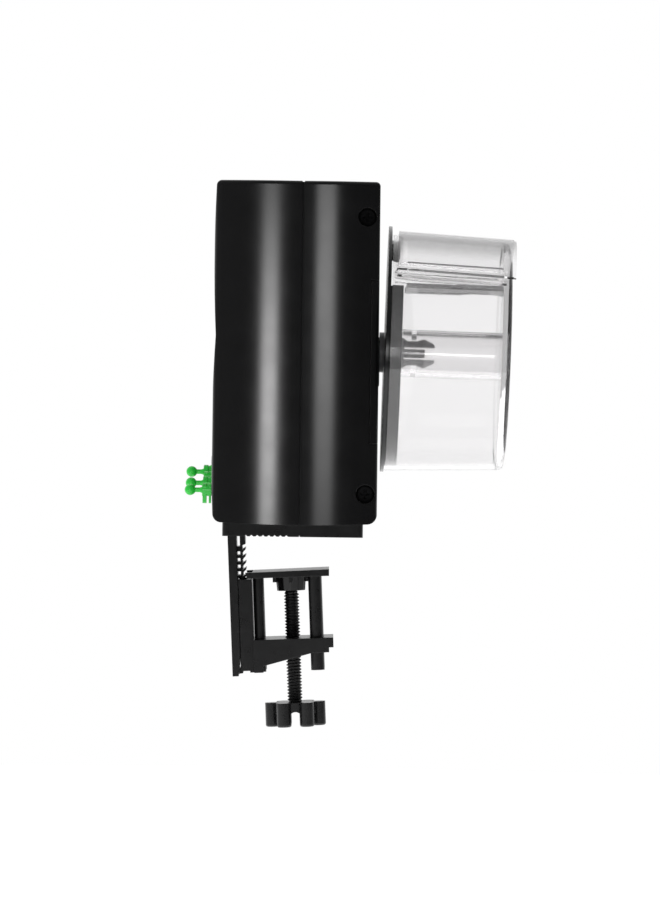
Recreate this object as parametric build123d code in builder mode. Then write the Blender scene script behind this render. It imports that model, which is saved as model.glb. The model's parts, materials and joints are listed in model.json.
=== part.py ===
from build123d import *
import os
from math import atan, cos, pi, radians, sin, sqrt

# Automatic fish feeder that clamps to a tank rim. Millimetres, +Z up, +X towards the food drum,
# -X towards the timer dial. The origin is on the underside of the upper jaw, where the rim rests.

os.makedirs("parts", exist_ok=True)

# ---- driving dimensions ----
# casing
SEAM_X = 0.8
CASE_TOP = 139.6
CASE_BOTTOM = 5.2
CASE_REAR = 31.0
HALF_WIDTH = 45.0
WALL = 2.3
CAVITY_FRONT = -30.8
CAVITY_REAR = 27.6
CAVITY_LOW = 8.0
CAVITY_HIGH = 136.4

# timer dial
DIAL_Z = 51.3
DIAL_R = 37.2
DIAL_FACE = -32.9
DIAL_THICK = 1.6
POCKET_FLOOR = -31.0
PIN_CIRCLE_R = 33.6
PIN_HOLES = 48
PIN_SHANK_R = 1.0
PIN_ANGLES = (0.0, 22.5, 37.5)
KEY_ANGLE = 55.0
KEY_R = 39.8

# food drum: its shaft droops a little towards the free end
DRUM_TILT = 1.35
DRUM_X = 33.6
DRUM_Z = 73.5
CUP_MOUTH_R = 47.0
CUP_END_R = 45.1
CUP_MOUTH_U = 1.8
CUP_END_U = 49.0
CUP_WALL = 1.6
GATE_THICK = 1.25
GATE_ANGLE = 48.0
WINDOW_ANGLE = 41.0
SHELF_UP = 25.9
TUBE_R = 9.5
SHAFT_R = 6.0

# drive train
GEAR_MODULE = 0.5
OUTPUT_MODULE = 0.6
PINION_TEETH = 10
WHEEL_TEETH = 44
OUTPUT_PINION_TEETH = 12
OUTPUT_TEETH = 60
AXLE_R = 1.0

# batteries
CELL_R = 7.25
CELL_LENGTH = 50.5
CELL_X = 20.3
CELL_Y = (-31.5, -16.8)
TRAY_LOW = 41.5
TRAY_HIGH = 98.5

# rim clamp: the rack arm toes in towards the drum side
TOE_IN = 2.8
ARM_X = -27.7
ARM_Z = -0.8
ARM_LENGTH = 55.2
ARM_WIDTH = 26.0
RACK_PITCH = 2.65
TOOTH_TIP = 6.9
BRACKET_WALL = 7.15
BRACKET_TOP = -41.0
BRACKET_REACH = 40.5
BRACKET_WIDTH = 30.0
PLATE_TOP = -14.2
PLATE_THICK = 2.3
POST_X = (11.4, 34.0)
POST_Y = 9.0
POST_R = (2.1, 2.7)
POST_END = -53.9
SCREW_X = 24.4
SCREW_R = 3.0
SCREW_PITCH = 1.25
KNOB_TOP = -66.8
KNOB_BOTTOM = -76.4

# ---- working planes ----
tilt = radians(DRUM_TILT)
toe = radians(TOE_IN)
drum_origin = (DRUM_X, 0, DRUM_Z)
drum_direction = (cos(tilt), 0, -sin(tilt))
# across the drum axis: sketch x runs along +Y, sketch y runs up
DRUM = Plane(origin=drum_origin, x_dir=(0, 1, 0), z_dir=drum_direction)
# through the drum axis: sketch x runs along the axis, sketch y is the radius
DRUM_SIDE = Plane(origin=drum_origin, x_dir=drum_direction, z_dir=(0, -1, 0))
DRUM_AXIS = Axis(drum_origin, drum_direction)
# across the dial axis, seen from the front: sketch x runs along +Y, sketch y runs down
DIAL = Plane(origin=(0, 0, DIAL_Z), x_dir=(0, 1, 0), z_dir=(-1, 0, 0))
# front-to-back section of the casing: sketch x along +X, sketch y along +Z
SIDE = Plane(origin=(0, 0, 0), x_dir=(1, 0, 0), z_dir=(0, -1, 0))
# the clamp's own section and plan, leaning by the toe-in angle
clamp_origin = (ARM_X, 0, ARM_Z)
CLAMP_SIDE = Plane(origin=clamp_origin, x_dir=(cos(toe), 0, sin(toe)), z_dir=(0, -1, 0))
CLAMP = Plane(origin=clamp_origin, x_dir=(cos(toe), 0, sin(toe)), z_dir=(-sin(toe), 0, cos(toe)))


def finish(builder, label):
    """Name a finished piece and write its STEP file."""
    builder.part.label = label
    export_step(builder.part, f"parts/{label}.step")


def along(plane, start, stop, sketch_radius, at=((0, 0),)):
    """Round bars of one radius between two heights of a plane."""
    with BuildPart() as bar:
        with BuildSketch(plane.offset(start)):
            with Locations(*at):
                Circle(sketch_radius)
        extrude(amount=stop - start)
    return bar.part


def side_bar(outline, half_width, plane=SIDE):
    """A straight-sided outline in a section plane, as thick as twice half_width."""
    with BuildPart() as bar:
        with BuildSketch(plane):
            with BuildLine():
                Polyline(*outline, close=True)
            make_face()
        extrude(amount=half_width, both=True)
    return bar.part


def box_between(low, high):
    """A plain block between two corners."""
    middle = [(a + b) / 2 for a, b in zip(low, high)]
    size = [b - a for a, b in zip(low, high)]
    return Pos(*middle) * Box(*size, mode=Mode.PRIVATE)


# ---- casing ----
def bowed_plan(front_x, rear_x, inset):
    """Plan outline of the casing: each half's side walls bow outwards."""
    with BuildSketch() as plan:
        with BuildLine():
            near_front = ThreePointArc((front_x, -42.6 + inset), (-14, -45.9 + inset),
                                       (SEAM_X, inset - HALF_WIDTH))
            near_rear = ThreePointArc(near_front @ 1, (13, -45.6 + inset), (rear_x, -42.2 + inset))
            far_rear = ThreePointArc((rear_x, 42.2 - inset), (13, 45.6 - inset),
                                     (SEAM_X, HALF_WIDTH - inset))
            far_front = ThreePointArc(far_rear @ 1, (-14, 45.9 - inset), (front_x, 42.6 - inset))
            Line(near_rear @ 1, far_rear @ 0)
            Line(far_front @ 1, near_front @ 0)
        make_face()
    return plan.sketch


with BuildPart() as casing:
    with BuildSketch(Plane.XY.offset(CASE_BOTTOM - 1)):
        add(bowed_plan(-33.7, CASE_REAR + 0.2, 0))
    extrude(amount=CASE_TOP - CASE_BOTTOM + 1)
    fillet(casing.edges().filter_by(Axis.Z).group_by(Axis.X)[0], radius=3.4)
    fillet(casing.edges().filter_by(Axis.Z).group_by(Axis.X)[-1], radius=2.6)
    fillet(casing.faces().sort_by(Axis.Z)[-1].edges(), radius=1.4)
    with BuildSketch(SIDE):
        with BuildLine():
            front_crown = ThreePointArc((-30.95, CASE_TOP), (-32.5, CASE_TOP - 0.64), (-33.15, CASE_TOP - 2.2))
            brow = ThreePointArc(front_crown @ 1, (-33.7, 108), (-32.8, 79))
            belly = ThreePointArc(brow @ 1, (-33.95, 40), (-33.2, 9.2))
            front_toe = TangentArc(belly @ 1, (-29.6, 5.9), tangent=belly % 1)
            keel = ThreePointArc(front_toe @ 1, (SEAM_X, CASE_BOTTOM), (27.4, 5.8))
            rear_toe = TangentArc(keel @ 1, (CASE_REAR + 0.1, 9.4), tangent=keel % 1)
            rear_x = CASE_REAR - 0.2
            rear_crown = ThreePointArc((rear_x, CASE_TOP - 1.8), (rear_x - 0.53, CASE_TOP - 0.53),
                                       (rear_x - 1.8, CASE_TOP))
            Line(rear_toe @ 1, rear_crown @ 0)
            Line(rear_crown @ 1, front_crown @ 0)
        make_face()
    extrude(amount=HALF_WIDTH + 5, both=True, mode=Mode.INTERSECT)
outer_block = casing.part

with BuildPart() as cavity:
    with BuildSketch(Plane.XY.offset(CAVITY_LOW)):
        add(bowed_plan(CAVITY_FRONT, CAVITY_REAR, WALL))
    extrude(amount=CAVITY_HIGH - CAVITY_LOW)
inner_block = cavity.part


def dial_point(radius, angle):
    """A point on the dial plane; angle 0 is straight down, growing towards +Y."""
    return (radius * sin(radians(angle)), radius * cos(radians(angle)))


key_at = dial_point(KEY_R, KEY_ANGLE)
side_screw_spots = [(25.9, 125.8), (26.4, 17.6)]
board_spots = [(-29, 91), (-29, 115), (5, 91), (5, 115)]
movement_spots = [(-26, 62), (26, 62)]
foot_screw_spots = [(-14, -12), (-14, 12), (15, -12), (15, 12)]
POST_WIDTH = 8.0
SIDE_SCREW_R = 1.5
BUTTON_Z = 106.0
BUTTON_R = 6.0
FRONT_PLANE = Plane(origin=(0, 0, 0), x_dir=(0, 1, 0), z_dir=(1, 0, 0))

SEAM_GROOVE = 0.45
with BuildPart() as seam_groove:
    add(box_between((SEAM_X - SEAM_GROOVE, -60, 0), (SEAM_X + SEAM_GROOVE, 60, CASE_TOP + 5)))
    with BuildSketch(Plane.XY.offset(CASE_BOTTOM + SEAM_GROOVE)):
        add(bowed_plan(-20, 20, SEAM_GROOVE))
    extrude(amount=CASE_TOP - CASE_BOTTOM - 2 * SEAM_GROOVE, mode=Mode.SUBTRACT)

with BuildPart() as front_shell:
    add(outer_block)
    split(bisect_by=Plane(origin=(SEAM_X, 0, 0), z_dir=(-1, 0, 0)), keep=Keep.TOP)
    add(seam_groove.part, mode=Mode.SUBTRACT)
    add(inner_block, mode=Mode.SUBTRACT)
    # boss behind the dial pocket
    with BuildSketch(DIAL.offset(28.8)):
        Circle(DIAL_R + 2.1)
    extrude(amount=2.2)
    # posts for the circuit board and the clock movement
    with BuildSketch(FRONT_PLANE.offset(CAVITY_FRONT - 0.2)):
        with Locations(*board_spots):
            Circle(2.6)
    extrude(amount=9.4)
    with BuildSketch(FRONT_PLANE.offset(CAVITY_FRONT + 0.5)):
        with Locations(*movement_spots):
            Circle(2.6)
    extrude(amount=6.1)
    # long posts that the side screws reach
    with BuildSketch(FRONT_PLANE.offset(CAVITY_FRONT - 0.2)):
        with Locations(*[(side * 30, z) for side in (-1, 1) for x, z in side_screw_spots]):
            Rectangle(POST_WIDTH, POST_WIDTH)
    extrude(amount=CAVITY_REAR - CAVITY_FRONT + 0.15)
    for x, z in side_screw_spots:
        with BuildSketch(SIDE):
            with Locations((x, z)):
                Circle(SIDE_SCREW_R)
        extrude(amount=40, both=True, mode=Mode.SUBTRACT)
    # bosses for the foot screws
    with BuildSketch(Plane.XY.offset(CAVITY_LOW - 0.2)):
        with Locations(*foot_screw_spots[:2]):
            Circle(3.4)
    extrude(amount=6)
    with BuildSketch(Plane.XY.offset(CASE_BOTTOM - 1)):
        with Locations(*foot_screw_spots[:2]):
            Circle(1.4)
    extrude(amount=9, mode=Mode.SUBTRACT)
    # round pocket and bore for the dial
    with BuildSketch(DIAL.offset(-POCKET_FLOOR)):
        Circle(DIAL_R + 0.4)
    extrude(amount=6, mode=Mode.SUBTRACT)
    with BuildSketch(DIAL.offset(27)):
        Circle(3.05)
    extrude(amount=8, mode=Mode.SUBTRACT)
    # slot for the trip key, bore for the feed button
    with BuildSketch(DIAL.offset(27)):
        with Locations(Location((key_at[0], key_at[1], 0), (0, 0, 1), 90 - KEY_ANGLE)):
            Rectangle(3.8, 9.8)
    extrude(amount=9, mode=Mode.SUBTRACT)
    with BuildSketch(FRONT_PLANE.offset(-36)):
        with Locations((0, BUTTON_Z)):
            Circle(BUTTON_R + 0.3)
    extrude(amount=8, mode=Mode.SUBTRACT)
    with BuildSketch(FRONT_PLANE.offset(CAVITY_FRONT)):
        with Locations(*board_spots, *movement_spots):
            Circle(0.9)
    extrude(amount=10, mode=Mode.SUBTRACT)
finish(front_shell, "front_shell")

# screw cups of the rear shell, clipped to the casing's outer surface
with BuildPart() as well_cups:
    for side in (-1, 1):
        with BuildSketch(SIDE.offset(side * 34.6)):
            with Locations(*side_screw_spots):
                Circle(5.2)
        extrude(amount=side * 12)
    add(outer_block, mode=Mode.INTERSECT)

COVER_LOW = 37.2
COVER_HIGH = 101.4
COVER_EDGE_X = 27.6
COVER_INNER_Y = -7.1
gearbox_boss_spots = [(36, 4), (36, 32), (-10, 34)]

def cover_blank(gap, skin):
    """The battery cover's form: a rear plate that wraps the near side corner."""
    with BuildPart() as blank:
        add(outer_block)
        low = (COVER_EDGE_X + gap, -60, COVER_LOW + gap)
        high = (40, COVER_INNER_Y - gap, COVER_HIGH - gap)
        add(box_between(low, high), mode=Mode.INTERSECT)
        with BuildSketch(Plane.XY.offset(20)):
            add(bowed_plan(-20, CASE_REAR - skin, skin))
        extrude(amount=100, mode=Mode.SUBTRACT)
    return blank.part


with BuildPart() as rear_shell:
    add(outer_block)
    split(bisect_by=Plane(origin=(SEAM_X, 0, 0), z_dir=(1, 0, 0)), keep=Keep.TOP)
    add(seam_groove.part, mode=Mode.SUBTRACT)
    add(inner_block, mode=Mode.SUBTRACT)
    # shaft bearing and gearbox bosses
    with BuildSketch(DRUM.offset(-9)):
        Circle(8.2)
    extrude(amount=5)
    with BuildSketch(DRUM.offset(-23)):
        with Locations(*gearbox_boss_spots):
            Circle(3.2)
    extrude(amount=18.5)
    with BuildSketch(DRUM.offset(-23)):
        with Locations(*gearbox_boss_spots):
            Circle(1.3)
    extrude(amount=8, mode=Mode.SUBTRACT)
    with BuildSketch(DRUM.offset(-12)):
        Circle(SHAFT_R + 0.05)
    extrude(amount=20, mode=Mode.SUBTRACT)
    # bosses for the foot screws
    with BuildSketch(Plane.XY.offset(CAVITY_LOW - 0.2)):
        with Locations(*foot_screw_spots[2:]):
            Circle(3.4)
    extrude(amount=6)
    with BuildSketch(Plane.XY.offset(CASE_BOTTOM - 1)):
        with Locations(*foot_screw_spots[2:]):
            Circle(1.4)
    extrude(amount=9, mode=Mode.SUBTRACT)
    # wells for the side screws
    add(well_cups.part)
    for side in (-1, 1):
        with BuildSketch(SIDE.offset(side * 36.6)):
            with Locations(*side_screw_spots):
                Circle(3.7)
        extrude(amount=side * 12, mode=Mode.SUBTRACT)
        with BuildSketch(SIDE.offset(side * 24)):
            with Locations(*side_screw_spots):
                Circle(1.6)
        extrude(amount=side * 14, mode=Mode.SUBTRACT)
    # recess for the battery cover and the opening behind it
    add(cover_blank(0, 1.9), mode=Mode.SUBTRACT)
    add(box_between((20, -39.2, TRAY_LOW), (35, -9.2, TRAY_HIGH)), mode=Mode.SUBTRACT)
finish(rear_shell, "rear_shell")

with BuildPart() as battery_cover:
    add(cover_blank(0.25, 1.6))
    # thumb ribs on the rear face
    for rib in range(4):
        y = -16 - 2.4 * rib
        add(box_between((CASE_REAR - 0.5, y - 0.5, 60), (CASE_REAR + 0.45, y + 0.5, 78)))
finish(battery_cover, "battery_cover")

with BuildPart() as case_screws:
    for side in (-1, 1):
        with BuildSketch(SIDE.offset(side * 36.6)):
            with Locations(*side_screw_spots):
                Circle(3.0)
        extrude(amount=side * 2.0)
        with BuildSketch(SIDE.offset(side * 27.0)):
            with Locations(*side_screw_spots):
                Circle(1.5)
        extrude(amount=side * 9.6)
        with BuildSketch(SIDE.offset(side * 37.6)):
            with Locations(*side_screw_spots):
                Rectangle(3.6, 0.8)
                Rectangle(0.8, 3.6)
        extrude(amount=side * 2.0, mode=Mode.SUBTRACT)
finish(case_screws, "case_screws")

# ---- timer ----
DIAL_SHAFT_R = 3.0
DIAL_GEAR_TEETH = 60
CLOCK_PINION_TEETH = 12
CLOCK_MODULE = 0.6
CLOCK_DISTANCE = CLOCK_MODULE * (DIAL_GEAR_TEETH + CLOCK_PINION_TEETH) / 2

def gear_outline(module, teeth, centre, first_tooth):
    """Spur gear outline; a tooth is centred on the angle first_tooth (degrees)."""
    pitch_r = module * teeth / 2
    tip_r = pitch_r + 0.9 * module
    root_r = pitch_r - 1.2 * module
    root_share = 0.80 if teeth < 20 else 0.92
    points = []
    for tooth in range(teeth):
        middle = radians(first_tooth) + 2 * pi * tooth / teeth
        tip_half = 0.36 * module / tip_r
        mid_half = 0.68 * module / pitch_r
        root_half = root_share * module / root_r
        for radius, angle in (
            (root_r, middle - root_half),
            (pitch_r, middle - mid_half),
            (tip_r, middle - tip_half),
            (tip_r, middle + tip_half),
            (pitch_r, middle + mid_half),
            (root_r, middle + root_half),
        ):
            points.append((centre[0] + radius * cos(angle), centre[1] + radius * sin(angle)))
    return points


def gear(plane, start, width, module, teeth, centre, first_tooth, bore):
    """A spur gear on a plane, from height start, with a round bore."""
    with BuildPart() as wheel:
        with BuildSketch(plane.offset(start)):
            with BuildLine():
                Polyline(*gear_outline(module, teeth, centre, first_tooth), close=True)
            make_face()
            if bore:
                with Locations(centre):
                    Circle(bore, mode=Mode.SUBTRACT)
        extrude(amount=width)
    return wheel.part


with BuildPart() as dial:
    with BuildSketch(DIAL.offset(-DIAL_FACE - DIAL_THICK)):
        Circle(DIAL_R)
    extrude(amount=DIAL_THICK)
    # raised grip in the middle, with a flute all round
    with BuildSketch(DIAL.offset(-DIAL_FACE - 0.2)):
        Circle(10)
        with PolarLocations(10.4, 12):
            Circle(1.2, mode=Mode.SUBTRACT)
    extrude(amount=0.8)
    with BuildSketch(DIAL.offset(26.4)):
        Circle(DIAL_SHAFT_R)
    extrude(amount=-DIAL_FACE - DIAL_THICK - 26.4)
    with BuildSketch(DIAL.offset(-DIAL_FACE - DIAL_THICK - 1)):
        with PolarLocations(PIN_CIRCLE_R, PIN_HOLES, start_angle=90):
            Circle(PIN_SHANK_R + 0.05)
    extrude(amount=DIAL_THICK + 2, mode=Mode.SUBTRACT)
    with BuildSketch(DIAL.offset(26.0)):
        Circle(1.0)
    extrude(amount=4, mode=Mode.SUBTRACT)
finish(dial, "dial")

with BuildPart() as dial_gear:
    add(gear(DIAL, 26.4, 2.1, CLOCK_MODULE, DIAL_GEAR_TEETH, (0, 0), -90, DIAL_SHAFT_R))
finish(dial_gear, "dial_gear")

with BuildPart() as dial_screw:
    add(along(DIAL, 24.9, 26.4, 3.8))
    add(along(DIAL, 26.4, 29.6, 1.0))
finish(dial_screw, "dial_screw")

with BuildPart() as clock_pinion:
    turn = 90 + 180 / CLOCK_PINION_TEETH
    add(gear(DIAL, 26.2, 2.4, CLOCK_MODULE, CLOCK_PINION_TEETH, (0, -CLOCK_DISTANCE), turn, 0))
    add(along(DIAL, 21.5, 26.2, 1.5, [(0, -CLOCK_DISTANCE)]))
finish(clock_pinion, "clock_pinion")

MOVEMENT_FRONT = -24.2
MOVEMENT_Z = 62.0
with BuildPart() as clock_movement:
    add(box_between((MOVEMENT_FRONT, -22, MOVEMENT_Z - 22), (MOVEMENT_FRONT + 12.5, 22, MOVEMENT_Z + 22)))
    fillet(clock_movement.edges().filter_by(Axis.X), radius=3)
    with BuildSketch(Plane(origin=(MOVEMENT_FRONT, 0, MOVEMENT_Z), x_dir=(0, 1, 0), z_dir=(1, 0, 0))):
        SlotOverall(60, 8)
        with Locations((-26, 0), (26, 0)):
            Circle(1.2, mode=Mode.SUBTRACT)
    extrude(amount=1.6)
    with BuildSketch(DIAL.offset(20)):
        with Locations((0, -CLOCK_DISTANCE)):
            Circle(1.55)
    extrude(amount=6, mode=Mode.SUBTRACT)
finish(clock_movement, "clock_movement")


BALL_AT = 43.1
BALL_R = 2.2
NECK_R = 0.95
ball_start = BALL_AT - sqrt(BALL_R ** 2 - NECK_R ** 2)


def trip_pin(angle):
    """A trip pin pointing out of the dial: ball, neck, two lobed plates on a hub, shank."""
    along_x, along_y = dial_point(PIN_CIRCLE_R, angle)
    spoke = Plane(origin=(0, along_x, DIAL_Z - along_y), x_dir=(-1, 0, 0),
                  z_dir=(0, cos(radians(angle)), sin(radians(angle))))
    axis = Axis((0, along_x, DIAL_Z - along_y), (-1, 0, 0))
    outward = Plane(origin=(0, along_x, DIAL_Z - along_y),
                    x_dir=(0, sin(radians(angle)), -cos(radians(angle))),
                    z_dir=(-1, 0, 0))
    with BuildPart() as pin:
        with BuildSketch(spoke):
            with BuildLine():
                Polyline((31.6, 0), (31.6, PIN_SHANK_R), (34.6, PIN_SHANK_R), (34.6, 2.5), (38.3, 2.5),
                         (38.3, 1.3), (39.3, NECK_R), (ball_start, NECK_R))
                ThreePointArc((ball_start, NECK_R), (BALL_AT, BALL_R), (BALL_AT + BALL_R, 0))
                Line((BALL_AT + BALL_R, 0), (31.6, 0))
            make_face()
        revolve(axis=axis)
        for start, thick in ((34.7, 0.9), (36.5, 1.6)):
            with BuildSketch(outward.offset(start)):
                with BuildLine():
                    top = CenterArc((0, 0), 2.8, 120, 120)
                    tip = CenterArc((3.9, 0), 1.4, -70, 140)
                    Line(top @ 0, tip @ 1)
                    Line(tip @ 0, top @ 1)
                make_face()
            extrude(amount=thick)
    return pin


for number, pin_angle in enumerate(PIN_ANGLES, start=1):
    finish(trip_pin(pin_angle), f"trip_pin_{number}")

key_plane = Plane(origin=(0, key_at[0], DIAL_Z - key_at[1]),
                  x_dir=(0, sin(radians(KEY_ANGLE)), -cos(radians(KEY_ANGLE))), z_dir=(-1, 0, 0))
with BuildPart() as trip_key:
    with BuildSketch(key_plane.offset(27.4)):
        Rectangle(6.4, 12.4)
    extrude(amount=1.2)
    with BuildSketch(key_plane.offset(28.6)):
        Rectangle(3.2, 9.2)
    extrude(amount=6.9)
    along_ramp = Axis(key_plane.origin, key_plane.y_dir)
    ramp_edges = trip_key.faces().sort_by(Axis.X)[0].edges().sort_by(along_ramp)
    chamfer([ramp_edges[0], ramp_edges[-1]], length=1.6, length2=2.9)
    with BuildSketch(key_plane.offset(24.0)):
        Circle(2.0)
    extrude(amount=3.4)
finish(trip_key, "trip_key")

with BuildPart() as trip_switch:
    with BuildSketch(key_plane.offset(15.6)):
        Rectangle(7.6, 10.4)
    extrude(amount=10.0)
    with BuildSketch(key_plane.offset(21.8)):
        Circle(2.3)
    extrude(amount=4, mode=Mode.SUBTRACT)
    with BuildSketch(key_plane.offset(13.2)):
        with Locations((0, -3.6), (0, 0), (0, 3.6)):
            Rectangle(2.2, 0.5)
    extrude(amount=2.6)
finish(trip_switch, "trip_switch")

button_plane = Plane(origin=(0, 0, BUTTON_Z), x_dir=(0, 1, 0), z_dir=(-1, 0, 0))
with BuildPart() as feed_button:
    add(along(button_plane, 30.4, 33.3, BUTTON_R))
    fillet(feed_button.edges().sort_by(Axis.X)[0], radius=0.7)
    add(along(button_plane, 29.2, 30.4, BUTTON_R + 1.6))
    add(along(button_plane, 24.4, 29.2, 1.6))
finish(feed_button, "feed_button")

with BuildPart() as feed_switch:
    add(box_between((-25.4, -3.2, BUTTON_Z - 3.2), (-21.6, 3.2, BUTTON_Z + 3.2)))
    with BuildSketch(button_plane.offset(22.4)):
        Circle(1.9)
    extrude(amount=4, mode=Mode.SUBTRACT)
finish(feed_switch, "feed_switch")

with BuildPart() as circuit_board:
    add(box_between((-21.6, -33, 88), (-20.0, 9, 118.5)))
    with BuildSketch(FRONT_PLANE.offset(-23)):
        with Locations(*board_spots):
            Circle(1.2)
    extrude(amount=4, mode=Mode.SUBTRACT)
    # a chip, a capacitor and a wire socket on its back
    add(box_between((-20.0, -24, 100), (-18.2, -16, 112)))
    add(Pos(-16.5, -8, 98) * Rot(0, 90, 0) * Cylinder(3, 7.2, mode=Mode.PRIVATE))
    add(box_between((-20.0, -24, 91), (-14.5, -13, 96)))
finish(circuit_board, "circuit_board")

with BuildPart() as board_screws:
    for spots, seat in ((board_spots, -20.0), (movement_spots, MOVEMENT_FRONT + 1.6)):
        with BuildSketch(FRONT_PLANE.offset(seat - 6.5)):
            with Locations(*spots):
                Circle(0.9)
        extrude(amount=6.5)
        with BuildSketch(FRONT_PLANE.offset(seat)):
            with Locations(*spots):
                Circle(2.0)
        extrude(amount=1.3)
finish(board_screws, "board_screws")

# ---- drum drive: motor, two compound gears, output gear ----
LAYER_A = -27.4
LAYER_B = -30.8
LAYER_C = -34.2
PLATE_REAR = (-24.5, -23.0)
PLATE_FRONT = (-36.8, -35.2)
FACE_A = 2.5
FACE_B = 2.6


def polar(radius, angle):
    return Vector(radius * cos(radians(angle)), radius * sin(radians(angle)))


GEAR_B_ANGLE = 60
GEAR_A_ANGLE = 20
MOTOR_ANGLE = 100
compound_distance = GEAR_MODULE * (WHEEL_TEETH + PINION_TEETH) / 2
output_distance = OUTPUT_MODULE * (OUTPUT_TEETH + OUTPUT_PINION_TEETH) / 2
gear_b_at = polar(output_distance, GEAR_B_ANGLE)
gear_a_at = gear_b_at + polar(compound_distance, GEAR_A_ANGLE)
motor_at = gear_a_at + polar(compound_distance, MOTOR_ANGLE)


def xy(point):
    return (point.X, point.Y)


def opposite_gap(angle, teeth):
    """First-tooth angle that puts a gap where the mating gear has its tooth."""
    return angle + 180 + 180 / teeth


with BuildPart() as output_gear:
    add(gear(DRUM, LAYER_A, FACE_A, OUTPUT_MODULE, OUTPUT_TEETH, (0, 0), GEAR_B_ANGLE, 4.0))
finish(output_gear, "output_gear")

with BuildPart() as gear_b:
    pinion_turn = opposite_gap(GEAR_B_ANGLE, OUTPUT_PINION_TEETH)
    add(gear(DRUM, LAYER_B + FACE_B, 6.0 - FACE_B, OUTPUT_MODULE, OUTPUT_PINION_TEETH, xy(gear_b_at),
             pinion_turn, AXLE_R + 0.04))
    add(gear(DRUM, LAYER_B, FACE_B, GEAR_MODULE, WHEEL_TEETH, xy(gear_b_at), GEAR_A_ANGLE, AXLE_R + 0.04))
finish(gear_b, "gear_b")

with BuildPart() as gear_a:
    pinion_turn = opposite_gap(GEAR_A_ANGLE, PINION_TEETH)
    add(gear(DRUM, LAYER_C + FACE_B, 6.2 - FACE_B, GEAR_MODULE, PINION_TEETH, xy(gear_a_at),
             pinion_turn, AXLE_R + 0.04))
    add(gear(DRUM, LAYER_C, FACE_B, GEAR_MODULE, WHEEL_TEETH, xy(gear_a_at), MOTOR_ANGLE, AXLE_R + 0.04))
finish(gear_a, "gear_a")

with BuildPart() as motor_pinion:
    motor_turn = opposite_gap(MOTOR_ANGLE, PINION_TEETH)
    add(gear(DRUM, LAYER_C, 3.0, GEAR_MODULE, PINION_TEETH, xy(motor_at), motor_turn, 0))
    add(along(DRUM, -48, LAYER_C, 0.95, [xy(motor_at)]))
finish(motor_pinion, "motor_pinion")

with BuildPart() as drive_motor:
    with BuildSketch(DRUM.offset(-58.8)):
        with Locations(xy(motor_at)):
            Circle(10)
            Rectangle(15.2, 22, mode=Mode.INTERSECT)
    extrude(amount=22)
    with BuildSketch(DRUM.offset(PLATE_FRONT[0])):
        with Locations(xy(motor_at)):
            Circle(3)
    extrude(amount=1.4)
    with BuildSketch(DRUM.offset(-49)):
        with Locations(xy(motor_at)):
            Circle(1.0)
    extrude(amount=15, mode=Mode.SUBTRACT)
    with BuildSketch(DRUM.offset(-60.2)):
        with Locations(xy(motor_at)):
            Circle(3.4)
    extrude(amount=1.4)
finish(drive_motor, "drive_motor")

pillar_spots = [(-12.5, -18.2), (-12.5, 43), (35, -18.2), (35, 43)]
plate_middle = (11.5, 12.0)
plate_size = (55, 68.6)

with BuildPart() as gearbox_rear_plate:
    with BuildSketch(DRUM.offset(PLATE_REAR[0])):
        with Locations(plate_middle):
            RectangleRounded(*plate_size, 4)
        Circle(4.05, mode=Mode.SUBTRACT)
        with Locations(xy(gear_a_at), xy(gear_b_at)):
            Circle(AXLE_R, mode=Mode.SUBTRACT)
        with Locations(*gearbox_boss_spots):
            Circle(1.5, mode=Mode.SUBTRACT)
    extrude(amount=PLATE_REAR[1] - PLATE_REAR[0])
    with BuildSketch(DRUM.offset(PLATE_REAR[0])):
        with Locations(*pillar_spots):
            Circle(3)
    extrude(amount=PLATE_FRONT[1] - PLATE_REAR[0])
    with BuildSketch(DRUM.offset(PLATE_FRONT[1])):
        with Locations(*pillar_spots):
            Circle(1.1)
    extrude(amount=8, mode=Mode.SUBTRACT)
finish(gearbox_rear_plate, "gearbox_rear_plate")

with BuildPart() as gearbox_front_plate:
    with BuildSketch(DRUM.offset(PLATE_FRONT[0])):
        with Locations(plate_middle):
            RectangleRounded(*plate_size, 4)
        Circle(2.55, mode=Mode.SUBTRACT)
        with Locations(xy(gear_a_at), xy(gear_b_at)):
            Circle(AXLE_R, mode=Mode.SUBTRACT)
        with Locations(xy(motor_at)):
            Circle(3.05, mode=Mode.SUBTRACT)
        with Locations(*pillar_spots):
            Circle(1.3, mode=Mode.SUBTRACT)
    extrude(amount=PLATE_FRONT[1] - PLATE_FRONT[0])
finish(gearbox_front_plate, "gearbox_front_plate")

with BuildPart() as gear_axles:
    add(along(DRUM, PLATE_FRONT[0], PLATE_REAR[1], AXLE_R, [xy(gear_a_at), xy(gear_b_at)]))
finish(gear_axles, "gear_axles")

with BuildPart() as gearbox_screws:
    add(along(DRUM, PLATE_FRONT[0] - 1.4, PLATE_FRONT[0], 2.2, pillar_spots))
    add(along(DRUM, PLATE_FRONT[0], PLATE_FRONT[1] + 6, 1.1, pillar_spots))
finish(gearbox_screws, "gearbox_screws")

with BuildPart() as mount_screws:
    add(along(DRUM, PLATE_REAR[0] - 1.6, PLATE_REAR[0], 2.6, gearbox_boss_spots))
    add(along(DRUM, PLATE_REAR[0], PLATE_REAR[0] + 8, 1.3, gearbox_boss_spots))
finish(mount_screws, "mount_screws")

with BuildPart() as park_cam:
    with BuildSketch(DRUM.offset(LAYER_C)):
        Circle(7)
        with BuildLine():
            lobe = CenterArc((0, 0), 9, 165, 30)
            Line(lobe @ 0, (-5, 4.6))
            Line((-5, 4.6), (-5, -4.6))
            Line((-5, -4.6), lobe @ 1)
        make_face()
        Circle(4.0, mode=Mode.SUBTRACT)
    extrude(amount=2.4)
finish(park_cam, "park_cam")

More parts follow.
